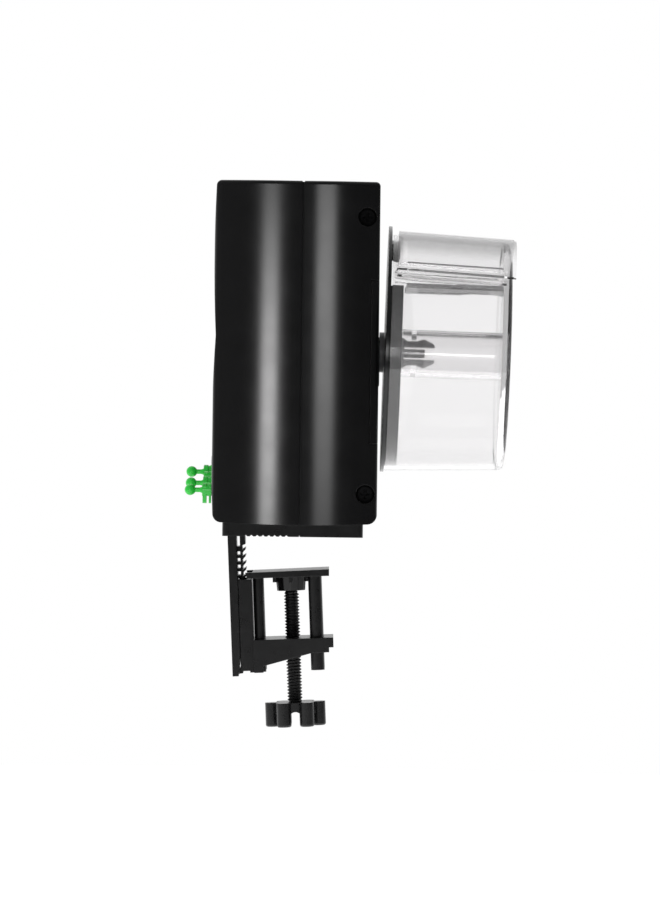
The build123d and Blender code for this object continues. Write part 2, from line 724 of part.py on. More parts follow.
with BuildPart() as park_switch:
    with BuildSketch(DRUM.offset(PLATE_FRONT[1])):
        with Locations((-15.6, 4)):
            Rectangle(9, 16)
    extrude(amount=4.4)
    with BuildSketch(DRUM.offset(LAYER_C + 0.4)):
        with Locations((-10.2, 0)):
            Rectangle(2.0, 1.6)
    extrude(amount=1.6)
finish(park_switch, "park_switch")

SNAP_GAP = 2.4
with BuildPart() as drive_shaft:
    with BuildSketch(DRUM_SIDE):
        with BuildLine():
            Polyline((-36.4, 0), (-36.4, 2.5), (-34.9, 2.5), (-34.9, 4), (-22.8, 4), (-22.8, SHAFT_R),
                     (-2.2, SHAFT_R), (-2.2, 8.0), (-0.2, 8.0), (-0.2, SHAFT_R), (7.5, SHAFT_R), (9.0, 4.9),
                     (12.6, 4.9), (15.2, 5.75))
            Spline((15.2, 5.75), (17.6, 4.9), (19.9, 3.4), tangents=((1, 0.1), (0.5, -1)))
            Polyline((19.9, 3.4), (19.9, 0), (-36.4, 0))
        make_face()
    revolve(axis=DRUM_AXIS)
    # the gap between the two snap prongs
    with BuildSketch(DRUM.offset(7.8)):
        Rectangle(20, 2 * SNAP_GAP)
    extrude(amount=14, mode=Mode.SUBTRACT)
    # core pin between the prongs
    add(along(DRUM, 7.6, 16, 1.7))
    # driving dogs on the collar
    with BuildSketch(DRUM.offset(-0.2)):
        with Locations((7.0, 0), (-7.0, 0)):
            Rectangle(1.6, 2.4)
    extrude(amount=1.0)
finish(drive_shaft, "drive_shaft")

# ---- food drum ----
def cup_radius(u):
    """Outer radius of the tapered cup at a distance along the drum axis."""
    share = (u - CUP_MOUTH_U) / (CUP_END_U - CUP_MOUTH_U)
    return CUP_MOUTH_R + share * (CUP_END_R - CUP_MOUTH_R)


def radial_plane(axis, angle):
    """Section plane through a drooping axis, turned from straight up towards +Y."""
    up = axis.direction.cross(Vector(0, 1, 0))
    spoke = up * cos(radians(angle)) + Vector(0, 1, 0) * sin(radians(angle))
    return Plane(origin=axis.position, x_dir=axis.direction, z_dir=axis.direction.cross(spoke))


def ring_sector(start, stop, lift_in, lift_out, middle, half_angle):
    """Part of a tapered ring: lifts are measured from the cup's outer surface."""
    inner = [cup_radius(u) + lift_in for u in (start, stop)]
    outer = [cup_radius(u) + lift_out for u in (start, stop)]
    with BuildPart() as sector:
        with BuildSketch(radial_plane(DRUM_AXIS, middle + half_angle)):
            with BuildLine():
                Polyline((start, inner[0]), (stop, inner[1]), (stop, outer[1]), (start, outer[0]),
                         close=True)
            make_face()
        revolve(axis=DRUM_AXIS, revolution_arc=2 * half_angle)
    return sector.part


# the gate is a plain cylinder's sector, tipped so that its top line follows the tapered cup
GATE_R = 46.4
GATE_LIFT = 0.4
gate_angle = tilt + atan((CUP_MOUTH_R - CUP_END_R) / (CUP_END_U - CUP_MOUTH_U))
gate_direction = Vector(cos(gate_angle), 0, -sin(gate_angle))
drum_up = Vector(sin(tilt), 0, cos(tilt))
gate_origin = (Vector(*drum_origin) + Vector(*drum_direction) * CUP_MOUTH_U
               + drum_up * (CUP_MOUTH_R + GATE_LIFT - GATE_R))
GATE_AXIS = Axis(gate_origin, gate_direction)


def gate_sector(start, stop, lift_in, lift_out, middle, half_angle):
    """Part of a plain ring around the gate's axis: lifts are measured from the gate's inner face."""
    with BuildPart() as sector:
        with BuildSketch(radial_plane(GATE_AXIS, middle + half_angle)):
            with BuildLine():
                Polyline((start, GATE_R + lift_in), (stop, GATE_R + lift_in), (stop, GATE_R + lift_out),
                         (start, GATE_R + lift_out), close=True)
            make_face()
        revolve(axis=GATE_AXIS, revolution_arc=2 * half_angle)
    return sector.part


CUP_FLOOR = 2.0
CUP_CORNER = 2.4
SKIRT_END = 6.2
WINDOW_U = (5.6, 45.2)
SHELF_THICK = 1.9
BORE_R = SHAFT_R + 0.15

with BuildPart() as drum_cup:
    with BuildSketch(DRUM_SIDE):
        with BuildLine():
            wall_line = Line((CUP_MOUTH_U, CUP_MOUTH_R),
                             (CUP_END_U - CUP_CORNER, cup_radius(CUP_END_U - CUP_CORNER)))
            corner = TangentArc(wall_line @ 1, (CUP_END_U, CUP_END_R - CUP_CORNER), tangent=wall_line % 1)
            Polyline(corner @ 1, (CUP_END_U, 0), (CUP_END_U - CUP_FLOOR, 0), (CUP_END_U - CUP_FLOOR, 7.6),
                     (12.5, 7.6), (12.5, BORE_R), (10.5, BORE_R), (10.5, 7.6), (5.6, 7.6), (5.6, TUBE_R),
                     (CUP_END_U - CUP_FLOOR, TUBE_R), (CUP_END_U - CUP_FLOOR, CUP_END_R - CUP_WALL - 1.6),
                     (CUP_END_U - CUP_FLOOR - 1.6, cup_radius(CUP_END_U - 3.6) - CUP_WALL),
                     (CUP_MOUTH_U, CUP_MOUTH_R - CUP_WALL), wall_line @ 0)
        make_face()
    revolve(axis=DRUM_AXIS)
    # outlet window under the gate
    add(ring_sector(*WINDOW_U, -4, 3, 0, WINDOW_ANGLE), mode=Mode.SUBTRACT)
    # rails that hold the gate's long edges
    for side in (-1, 1):
        add(gate_sector(0.6, 43.5, -1.2, 1.6, side * (GATE_ANGLE + 2.2), 1.7))
        add(gate_sector(0.6, 43.5, 1.5, 2.2, side * (GATE_ANGLE + 0.9), 3.0))
finish(drum_cup, "drum_cup")

# shelf that closes off the dose chamber, with a slot the food drops through
SHELF_START = 7.6
SHELF_GAP = 0.05
shelf_end = CUP_END_U - CUP_FLOOR - SHELF_GAP
with BuildPart() as drum_shelf:
    with BuildSketch(DRUM.offset(SHELF_START)):
        with Locations((0, SHELF_UP)):
            Rectangle(2 * CUP_MOUTH_R, SHELF_THICK)
    extrude(amount=shelf_end - SHELF_START)
    with BuildSketch(DRUM.offset(SHELF_START + 5)):
        with Locations((19, SHELF_UP)):
            Rectangle(12, SHELF_THICK + 1)
    extrude(amount=shelf_end - SHELF_START - 11, mode=Mode.SUBTRACT)
    # long edges follow the inside of the cup
    with BuildSketch(DRUM_SIDE):
        with BuildLine():
            Polyline((0, 0), (0, cup_radius(0) - CUP_WALL - SHELF_GAP),
                     (shelf_end - 1.6, cup_radius(shelf_end - 1.6) - CUP_WALL - SHELF_GAP),
                     (shelf_end, CUP_END_R - CUP_WALL - 1.6 - 2 * SHELF_GAP), (shelf_end, 0), close=True)
        make_face()
    revolve(axis=DRUM_AXIS, mode=Mode.INTERSECT)
finish(drum_shelf, "drum_shelf")

with BuildPart() as drum_gate:
    add(gate_sector(0.3, 46.2, 0, GATE_THICK, 0, GATE_ANGLE))
    add(gate_sector(46.1, 47.1, 0, GATE_THICK - 0.5, 0, GATE_ANGLE))
finish(drum_gate, "drum_gate")

LID_THICK = 1.3
with BuildPart() as drum_lid:
    with BuildSketch(DRUM):
        Circle(47.5)
    extrude(amount=LID_THICK)
    add(ring_sector(0, LID_THICK, -4, 3.3, 0, GATE_ANGLE + 5))
    add(ring_sector(LID_THICK - 0.1, SKIRT_END, -CUP_WALL - 1.9, -CUP_WALL - 0.3, 180, 125))
    add(ring_sector(LID_THICK - 0.1, 4.6, -8.5, -CUP_WALL - 0.6, 0, 16))
    with BuildSketch(DRUM.offset(LID_THICK - 0.1)):
        Circle(9.0)
    extrude(amount=3.6)
    with BuildSketch(DRUM.offset(-1)):
        Circle(BORE_R)
        with Locations((7.0, 0), (-7.0, 0)):
            Rectangle(2.4, 3.0)
    extrude(amount=2.6, mode=Mode.SUBTRACT)
    with BuildSketch(DRUM.offset(-1)):
        Circle(BORE_R)
    extrude(amount=8, mode=Mode.SUBTRACT)
finish(drum_lid, "drum_lid")

# ---- batteries ----
cell_low = (TRAY_LOW + TRAY_HIGH - CELL_LENGTH) / 2
cell_high = cell_low + CELL_LENGTH
TRAY_X = (12.0, 27.4)
TRAY_Y = (-39.9, -8.4)
with BuildPart() as battery_tray:
    add(box_between((TRAY_X[0], TRAY_Y[0], TRAY_LOW - 1), (TRAY_X[1], TRAY_Y[1], TRAY_HIGH + 1)))
    add(box_between((TRAY_X[0] + 1, TRAY_Y[0] + 0.9, TRAY_LOW),
                    (TRAY_X[1] + 1, TRAY_Y[1] - 0.9, TRAY_HIGH)),
        mode=Mode.SUBTRACT)
finish(battery_tray, "battery_tray")

with BuildPart() as battery_cells:
    for y, plus_up in zip(CELL_Y, (True, False)):
        can_low = cell_low if plus_up else cell_low + 1
        with BuildSketch(Plane.XY.offset(can_low)):
            with Locations((CELL_X, y)):
                Circle(CELL_R)
        extrude(amount=CELL_LENGTH - 1)
        with BuildSketch(Plane.XY.offset(cell_low)):
            with Locations((CELL_X, y)):
                Circle(2.7)
        extrude(amount=CELL_LENGTH)
finish(battery_cells, "battery_cells")

SPRING_WIRE_R = 0.35
with BuildPart() as battery_springs:
    for y, base, grow in ((CELL_Y[0], TRAY_LOW + 0.47, 1), (CELL_Y[1], TRAY_HIGH - 0.47, -1)):
        for turn in range(3):
            rise = SPRING_WIRE_R + turn * (2 * SPRING_WIRE_R + 0.05)
            ring = Plane(origin=(CELL_X, y, base + grow * rise))
            ring_r = 4.6 - 0.75 * turn
            with BuildSketch(Plane(origin=ring.origin, x_dir=(1, 0, 0), z_dir=(0, -1, 0))):
                with Locations((ring_r, 0)):
                    Circle(SPRING_WIRE_R + 0.06)
            revolve(axis=Axis(ring.origin, (0, 0, 1)))
finish(battery_springs, "battery_springs")

with BuildPart() as battery_contacts:
    for y in CELL_Y:
        add(box_between((CELL_X - 5.5, y - 5.5, TRAY_LOW), (CELL_X + 5.5, y + 5.5, TRAY_LOW + 0.4)))
        add(box_between((CELL_X - 5.5, y - 5.5, TRAY_HIGH - 0.4), (CELL_X + 5.5, y + 5.5, TRAY_HIGH)))
    # domes that reach the positive ends
    dome_length = TRAY_HIGH - cell_high - 0.4
    add(along(Plane.XY, cell_high, cell_high + dome_length, 2.2, [(CELL_X, CELL_Y[0])]))
    add(along(Plane.XY, cell_low - dome_length, cell_low, 2.2, [(CELL_X, CELL_Y[1])]))
finish(battery_contacts, "battery_contacts")

# ---- rim clamp ----
JAW_X = (-29.7, 25.9)
JAW_HALF_WIDTH = 22.0
with BuildPart() as jaw_plate:
    add(box_between((JAW_X[0], -JAW_HALF_WIDTH, 0), (JAW_X[1], JAW_HALF_WIDTH, CASE_BOTTOM)))
    fillet(jaw_plate.edges().filter_by(Axis.Z), radius=2.0)
    # the casing's belly rests in a shallow hollow
    add(outer_block, mode=Mode.SUBTRACT)
    # gripping ribs across the underside, and a centre notch in line with the casing seam
    for groove in range(8):
        x = -20.4 + 2.3 * groove
        add(side_bar([(x - 0.7, -1), (x - 0.7, 0), (x, 0.6), (x + 0.7, 0), (x + 0.7, -1)], 30),
            mode=Mode.SUBTRACT)
    add(side_bar([(SEAM_X - 0.5, -1), (SEAM_X, 0.7), (SEAM_X + 0.5, -1)], 30), mode=Mode.SUBTRACT)
    # pocket for the rack arm's head
    add(side_bar([(-0.1, -3), (-0.1, 4.8), (3.5, 4.8), (3.5, -3)], ARM_WIDTH / 2 + 0.1, CLAMP_SIDE),
        mode=Mode.SUBTRACT)
    add(along(Plane.XY, -1, CASE_BOTTOM + 1, 1.6, foot_screw_spots), mode=Mode.SUBTRACT)
    add(along(Plane.XY, -1, 2.4, 3.3, foot_screw_spots), mode=Mode.SUBTRACT)
finish(jaw_plate, "jaw_plate")

with BuildPart() as foot_screws:
    with BuildSketch(Plane.XY.offset(0.6)):
        with Locations(*foot_screw_spots):
            Circle(2.9)
    extrude(amount=1.8)
    with BuildSketch(Plane.XY.offset(2.4)):
        with Locations(*foot_screw_spots):
            Circle(1.4)
    extrude(amount=9.5)
finish(foot_screws, "foot_screws")

NECK_HALF_WIDTH = 6.5
HEAD_HALF_WIDTH = 9.0
TEETH = 18
FIRST_TOOTH = -5.3
STRIP_X = (4.75, 5.6)
with BuildPart() as rack_arm:
    # flat back strip with its head in the jaw plate
    add(side_bar([(0, 4.6), (3.4, 4.6), (3.4, -46), (2.5, -ARM_LENGTH), (0.1, -ARM_LENGTH)],
                 ARM_WIDTH / 2, CLAMP_SIDE))
    # ladder neck, toothed strip and the solid block above the first tooth
    add(side_bar([(3.3, -3.9), (4.85, -3.9), (4.85, -52.6), (3.3, -52.6)], NECK_HALF_WIDTH, CLAMP_SIDE))
    add(side_bar([(STRIP_X[0], 0.5), (STRIP_X[1], 0.5), (STRIP_X[1], -53.1), (STRIP_X[0], -53.1)],
                 HEAD_HALF_WIDTH, CLAMP_SIDE))
    add(side_bar([(5.5, 0.45), (TOOTH_TIP, 0.4), (TOOTH_TIP, -3.0), (5.5, -3.5)],
                 HEAD_HALF_WIDTH, CLAMP_SIDE))
    # foot below the bracket's lowest place
    add(side_bar([(2.3, -52.4), (4.4, -52.4), (4.2, -54.4), (2.3, -54.6)], NECK_HALF_WIDTH, CLAMP_SIDE))
    for tooth in range(TEETH):
        z = FIRST_TOOTH - RACK_PITCH * tooth
        add(side_bar([(5.5, z + 0.1), (TOOTH_TIP, z + 0.95), (TOOTH_TIP, z + 0.2), (5.5, z - 1.3)],
                     HEAD_HALF_WIDTH, CLAMP_SIDE))
        add(side_bar([(3.45, z - 0.6), (STRIP_X[0] - 0.05, z - 0.6), (STRIP_X[0] - 0.05, z - 2.05),
                      (3.45, z - 2.05)], 20, CLAMP_SIDE), mode=Mode.SUBTRACT)
finish(rack_arm, "rack_arm")

BRACKET_HALF = BRACKET_WIDTH / 2
post_spots = [(x, side * POST_Y) for x in POST_X for side in (-1, 1)]
with BuildPart() as clamp_bracket:
    # upright that stands against the rack, with cheeks that wrap its toothed strip
    add(side_bar([(BRACKET_WALL, -16.9), (8.9, -16.9), (8.9, -53.9), (BRACKET_WALL, -53.9)],
                 13, CLAMP_SIDE))
    for side in (-1, 1):
        for x_low, x_high, y_low, y_high in ((3.65, 7.3, 9.35, 13.0), (3.65, 4.5, 7.0, 9.4)):
            with BuildSketch(CLAMP.offset(-53.2)):
                with Locations(((x_low + x_high) / 2, side * (y_low + y_high) / 2)):
                    Rectangle(x_high - x_low, y_high - y_low)
            extrude(amount=36.3)
    # arm with its sloping underside
    add(side_bar([(8.8, BRACKET_TOP), (BRACKET_REACH, BRACKET_TOP), (BRACKET_REACH, -44.9), (38.7, -44.9),
                  (38.7, -46.8), (31.8, -46.9), (13.5, -51.2), (12.4, -51.2), (12.4, -54.0), (8.8, -54.0)],
                 BRACKET_HALF, CLAMP_SIDE))
    # hollow underside between the ribs
    with BuildSketch(CLAMP.offset(BRACKET_TOP - 2.4)):
        with Locations((18.1, 0)):
            Rectangle(5.4, 22)
        with Locations((29.6, 0)):
            Rectangle(3.0, 22)
    extrude(amount=-14, mode=Mode.SUBTRACT)
    for (x, y), rod_r in zip(post_spots, (POST_R[0], POST_R[0], POST_R[1], POST_R[1])):
        with BuildSketch(CLAMP.offset(BRACKET_TOP + 1)):
            with Locations((x, y)):
                Circle(rod_r + 0.15)
        extrude(amount=-16, mode=Mode.SUBTRACT)
    with BuildSketch(CLAMP.offset(BRACKET_TOP - 6.5)):
        with Locations((SCREW_X, 0)):
            Circle(5.2)
    extrude(amount=6.5)
    with BuildSketch(CLAMP.offset(BRACKET_TOP + 1)):
        with Locations((SCREW_X, 0)):
            Circle(SCREW_R + 0.06)
    extrude(amount=-16, mode=Mode.SUBTRACT)
finish(clamp_bracket, "clamp_bracket")

PLATE_HALF = 17.0
SOCKET_BOTTOM = -22.5
with BuildPart() as clamp_plate:
    add(side_bar([(6.6, PLATE_TOP), (39.8, PLATE_TOP + 0.3), (39.7, PLATE_TOP - PLATE_THICK),
                  (7.2, PLATE_TOP - PLATE_THICK)], PLATE_HALF, CLAMP_SIDE))
    # notch that straddles the bracket's upright
    with BuildSketch(CLAMP.offset(PLATE_TOP - 4)):
        with Locations((6.1, 0)):
            Rectangle(6.4, 26.8)
    extrude(amount=6, mode=Mode.SUBTRACT)
    for (x, y), rod_r in zip(post_spots, (POST_R[0], POST_R[0], POST_R[1], POST_R[1])):
        add(along(CLAMP, POST_END, PLATE_TOP - 1, rod_r, [(x, y)]))
    # socket for the screw's tip, with ribs
    with BuildSketch(CLAMP.offset(PLATE_TOP - PLATE_THICK + 0.2)):
        with Locations((SCREW_X, 0)):
            RegularPolygon(6.1, 12)
    extrude(amount=-6.0, taper=5)
    with BuildSketch(CLAMP.offset(PLATE_TOP - PLATE_THICK + 0.2)):
        with Locations((SCREW_X, 0)):
            Rectangle(1.2, 26)
            Rectangle(14.5, 1.2)
    extrude(amount=-2.6)
    with BuildSketch(CLAMP.offset(SOCKET_BOTTOM - 1)):
        with Locations((SCREW_X, 0)):
            Circle(2.2)
    extrude(amount=2.6, mode=Mode.SUBTRACT)
    with BuildSketch(CLAMP.offset(SOCKET_BOTTOM + 1.5)):
        with Locations((SCREW_X, 0)):
            Circle(2.8)
    extrude(amount=4.1, mode=Mode.SUBTRACT)
finish(clamp_plate, "clamp_plate")

screw_origin = Vector(*clamp_origin) + Vector(cos(toe), 0, sin(toe)) * SCREW_X
SCREW_SIDE = Plane(origin=screw_origin, x_dir=(cos(toe), 0, sin(toe)), z_dir=(0, -1, 0))
SCREW_AXIS = Axis(screw_origin, (-sin(toe), 0, cos(toe)))
THREAD_DEPTH = 0.55
THREAD_START = -22.6
TIP_TOP = PLATE_TOP - 5.3
thread_turns = int((THREAD_START - KNOB_TOP - 1) / SCREW_PITCH)
with BuildPart() as clamp_screw:
    profile = [(0, TIP_TOP), (2.5, TIP_TOP), (2.5, TIP_TOP - 0.9), (1.9, TIP_TOP - 1.2),
               (1.9, THREAD_START + 0.2)]
    for turn in range(thread_turns):
        top = THREAD_START - turn * SCREW_PITCH
        profile.append((SCREW_R - THREAD_DEPTH, top))
        profile.append((SCREW_R, top - 0.35 * SCREW_PITCH))
        profile.append((SCREW_R, top - 0.65 * SCREW_PITCH))
    profile += [(SCREW_R - THREAD_DEPTH, THREAD_START - thread_turns * SCREW_PITCH),
                (SCREW_R - THREAD_DEPTH, KNOB_TOP), (2.2, KNOB_TOP), (2.2, KNOB_TOP - 3.0),
                (0, KNOB_TOP - 3.0)]
    with BuildSketch(SCREW_SIDE):
        with BuildLine():
            Polyline(*profile, close=True)
        make_face()
    revolve(axis=SCREW_AXIS)
finish(clamp_screw, "clamp_screw")

KNOB_LOBES = 6
KNOB_LOBE_RING = 9.1
KNOB_LOBE_R = 2.9
KNOB_HUB = 6.0
KNOB_WEB = 3.7
KNOB_ARCH_R = 2.6
with BuildPart() as clamp_knob:
    with BuildSketch(CLAMP.offset(KNOB_TOP)):
        with Locations((SCREW_X, 0)):
            Circle(KNOB_LOBE_RING - 0.6)
    extrude(amount=-KNOB_HUB)
    # arched gaps between the lobes, straight through the hub's underside
    hub_centre = CLAMP.location * Location((SCREW_X, 0, KNOB_TOP - KNOB_WEB - KNOB_ARCH_R))
    for turn in range(3):
        turned = hub_centre * Location((0, 0, 0), (0, 0, 60 * turn)) * Location((0, 0, 0), (90, 0, 0))
        with Locations(turned):
            Cylinder(KNOB_ARCH_R, 3 * KNOB_LOBE_RING, mode=Mode.SUBTRACT)
    with BuildSketch(CLAMP.offset(KNOB_TOP)):
        with Locations((SCREW_X, 0)):
            with PolarLocations(KNOB_LOBE_RING, KNOB_LOBES):
                Circle(KNOB_LOBE_R)
    extrude(amount=KNOB_BOTTOM - KNOB_TOP)
    lobe_feet = clamp_knob.edges().filter_by(GeomType.CIRCLE).group_by(SCREW_AXIS)[0]
    fillet(lobe_feet, radius=0.8)
    with BuildSketch(CLAMP.offset(KNOB_TOP + 1)):
        with Locations((SCREW_X, 0)):
            Circle(2.2)
    extrude(amount=-4.0, mode=Mode.SUBTRACT)
finish(clamp_knob, "clamp_knob")
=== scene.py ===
"""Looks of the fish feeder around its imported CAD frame.

Everything is in metres, in the frame's axes: the dial faces -X, the drum +X, and the
photographed side -Y.
"""
import json
import math

import bmesh
import bpy
from mathutils import Matrix, Vector


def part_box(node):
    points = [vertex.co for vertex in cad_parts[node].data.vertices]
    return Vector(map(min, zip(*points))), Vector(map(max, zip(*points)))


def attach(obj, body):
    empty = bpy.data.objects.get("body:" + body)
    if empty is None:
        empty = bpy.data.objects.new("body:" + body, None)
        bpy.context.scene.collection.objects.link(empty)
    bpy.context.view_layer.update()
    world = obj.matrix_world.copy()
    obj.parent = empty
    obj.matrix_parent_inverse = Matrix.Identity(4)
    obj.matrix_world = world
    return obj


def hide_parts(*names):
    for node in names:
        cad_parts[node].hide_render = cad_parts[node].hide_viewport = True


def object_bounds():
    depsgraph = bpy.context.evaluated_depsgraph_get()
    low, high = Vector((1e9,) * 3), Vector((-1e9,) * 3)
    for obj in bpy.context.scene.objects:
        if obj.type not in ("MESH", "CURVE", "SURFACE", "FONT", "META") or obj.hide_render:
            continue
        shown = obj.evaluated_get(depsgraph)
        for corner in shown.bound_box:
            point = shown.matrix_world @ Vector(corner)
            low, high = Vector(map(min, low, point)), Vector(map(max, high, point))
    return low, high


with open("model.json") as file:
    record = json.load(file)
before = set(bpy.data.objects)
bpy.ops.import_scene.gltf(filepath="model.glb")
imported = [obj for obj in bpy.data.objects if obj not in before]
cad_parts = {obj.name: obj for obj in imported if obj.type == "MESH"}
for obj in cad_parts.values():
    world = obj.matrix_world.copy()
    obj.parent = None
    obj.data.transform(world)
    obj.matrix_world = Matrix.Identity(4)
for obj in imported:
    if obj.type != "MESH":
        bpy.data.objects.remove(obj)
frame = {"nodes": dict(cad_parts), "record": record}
cad_low, cad_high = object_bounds()
scene = bpy.context.scene

# ---- camera: square to the near side, a little above the casing's middle ----
CAMERA_X = 0.01245
CAMERA_Z = 0.0541
CAMERA_DISTANCE = 2.0
VIEW_HEIGHT = 0.3590
AIM_DROP = 0.0198
CAMERA_ROLL = math.radians(0.8)
SENSOR = 36
FAR_CLIP = 50

camera_data = bpy.data.cameras.new("camera")
camera_data.sensor_width = SENSOR
camera_data.lens = SENSOR * CAMERA_DISTANCE / VIEW_HEIGHT
camera_data.clip_end = FAR_CLIP
camera = bpy.data.objects.new("camera", camera_data)
scene.collection.objects.link(camera)
scene.camera = camera
camera.location = (CAMERA_X, -CAMERA_DISTANCE, CAMERA_Z)
camera.rotation_mode = "QUATERNION"
aim = Vector((0, CAMERA_DISTANCE, -AIM_DROP)).to_track_quat("-Z", "Y")
camera.rotation_quaternion = aim @ Matrix.Rotation(CAMERA_ROLL, 4, "Z").to_quaternion()


# ---- material helpers ----
class Nodes:
    """Short calls for making and joining a material's nodes."""

    def __init__(self, tree):
        self.tree = tree
        tree.nodes.clear()

    def make(self, kind, inputs=None, **settings):
        node = self.tree.nodes.new(kind)
        for name, value in settings.items():
            setattr(node, name, value)
        for name, value in (inputs or {}).items():
            if isinstance(value, bpy.types.NodeSocket):
                self.tree.links.new(value, node.inputs[name])
            else:
                node.inputs[name].default_value = value
        return node

    def noise(self, where, scale, detail=3.0, roughness=0.55, distortion=0.0):
        inputs = {"Vector": where, "Scale": scale, "Detail": detail, "Roughness": roughness,
                  "Distortion": distortion}
        return self.make("ShaderNodeTexNoise", inputs).outputs["Fac"]

    def spread(self, value, low, high, from_low=0.25, from_high=0.75):
        inputs = {"Value": value, "From Min": from_low, "From Max": from_high,
                  "To Min": low, "To Max": high}
        return self.make("ShaderNodeMapRange", inputs).outputs["Result"]

    def mix(self, factor, a, b):
        node = self.make("ShaderNodeMix", data_type="RGBA")
        for socket, value in (("Factor_Float", factor), ("A_Color", a), ("B_Color", b)):
            target = next(i for i in node.inputs if i.identifier == socket)
            if isinstance(value, bpy.types.NodeSocket):
                self.tree.links.new(value, target)
            elif socket == "Factor_Float":
                target.default_value = value
            else:
                target.default_value = (*value, 1)
        return next(o for o in node.outputs if o.identifier == "Result_Color")

    def math(self, operation, a, b=0.0):
        node = self.make("ShaderNodeMath", operation=operation)
        for index, value in enumerate((a, b)):
            if isinstance(value, bpy.types.NodeSocket):
                self.tree.links.new(value, node.inputs[index])
            else:
                node.inputs[index].default_value = value
        return node.outputs[0]

    def place(self, stretch=(1, 1, 1), turn=(0, 0, 0)):
        where = self.make("ShaderNodeTexCoord").outputs["Object"]
        inputs = {"Vector": where, "Scale": stretch, "Rotation": turn}
        return self.make("ShaderNodeMapping", inputs).outputs[0]


def scaled(colour, factor):
    return tuple(min(1.0, c * factor) for c in colour)


PLASTIC_IOR = 1.49
DUST = (0.42, 0.41, 0.39)
COAT_ROUGHNESS = 0.08
SCATTER_DEPTH = 0.0015
RECESS_ROUGHNESS = (0.35, 0.8)


def finish_material(name, colour, roughness, grain, depth, mottle=220, mottle_share=0.12,
                    spread=0.05, scuffs=0.25, dust=0.0, metal=0.0, brushed=None, coat=0.0,
                    specular=0.5, subsurface=0.0, anisotropic=0.0, edge=0.0003, dull_recess=0.0):
    """A moulded or metal surface: colour drift, grain, fine scuffs and broken edges.

    dust settles on what faces up. dull_recess is how near other walls leave it unpolished.
    """
    material = bpy.data.materials.new(name)
    material.use_nodes = True
    n = Nodes(material.node_tree)
    where = n.place()
    broad = n.noise(where, mottle, 4, 0.6)
    base = n.mix(n.spread(broad, 0, 1), scaled(colour, 1 - mottle_share),
                 scaled(colour, 1 + mottle_share))
    if brushed:
        fine = n.noise(n.place(brushed), grain, 3, 0.6)
    else:
        fine = n.noise(where, grain, 2, 0.5)
    # fine hairline scuffs in two directions
    lines = n.noise(n.place((40, 900, 260), (0.3, 0.5, 0.2)), 3.0, 3, 0.6)
    crossing = n.noise(n.place((700, 60, 420), (0.1, -0.4, 0.9)), 3.0, 3, 0.6)
    scuff = n.spread(n.math("MAXIMUM", lines, crossing), 0, 1, 0.66, 0.78)
    scuff = n.math("MULTIPLY", scuff, scuffs)
    pale = tuple(min(1.0, c * 1.3 + 0.03) for c in colour)
    base = n.mix(n.math("MULTIPLY", scuff, 0.35), base, pale)
    if dust:
        normal = n.make("ShaderNodeNewGeometry").outputs["Normal"]
        up = n.make("ShaderNodeSeparateXYZ", {0: normal}).outputs["Z"]
        settled = n.math("MULTIPLY", n.spread(up, 0, 1, 0.55, 1.0),
                         n.spread(n.noise(where, 900, 5, 0.7), 0.2, 1.0))
        base = n.mix(n.math("MULTIPLY", settled, dust), base, DUST)
    rough = n.spread(broad, roughness - spread, roughness + spread)
    rough = n.math("ADD", rough, n.math("MULTIPLY", scuff, 0.18))
    if dull_recess:
        # unpolished bottoms of wells and grooves
        open_sky = n.make("ShaderNodeAmbientOcclusion", {"Distance": dull_recess}, samples=6)
        rough = n.math("MAXIMUM", rough,
                       n.spread(open_sky.outputs["AO"], 1.0, 0.0, *RECESS_ROUGHNESS))
    height = n.math("ADD", fine, n.math("MULTIPLY", scuff, -0.4))
    edges = n.make("ShaderNodeBevel", {"Radius": edge}, samples=4)
    bump = n.make("ShaderNodeBump", {"Height": height, "Distance": depth, "Strength": 1.0,
                                     "Normal": edges.outputs[0]})
    shader = n.make("ShaderNodeBsdfPrincipled", {
        "Base Color": base, "Roughness": rough, "Metallic": metal, "Normal": bump.outputs[0],
        "Specular IOR Level": specular, "Coat Weight": coat, "Coat Roughness": COAT_ROUGHNESS,
        "Subsurface Weight": subsurface, "Subsurface Scale": SCATTER_DEPTH,
        "Anisotropic": anisotropic})
    n.make("ShaderNodeOutputMaterial", {"Surface": shader.outputs[0]})
    return material


CLEAR_TINT = (0.995, 0.99, 0.993)
CLEAR_BODY = (0.50, 0.50, 0.515, 1)
CLEAR_ROUGHNESS = 0.03


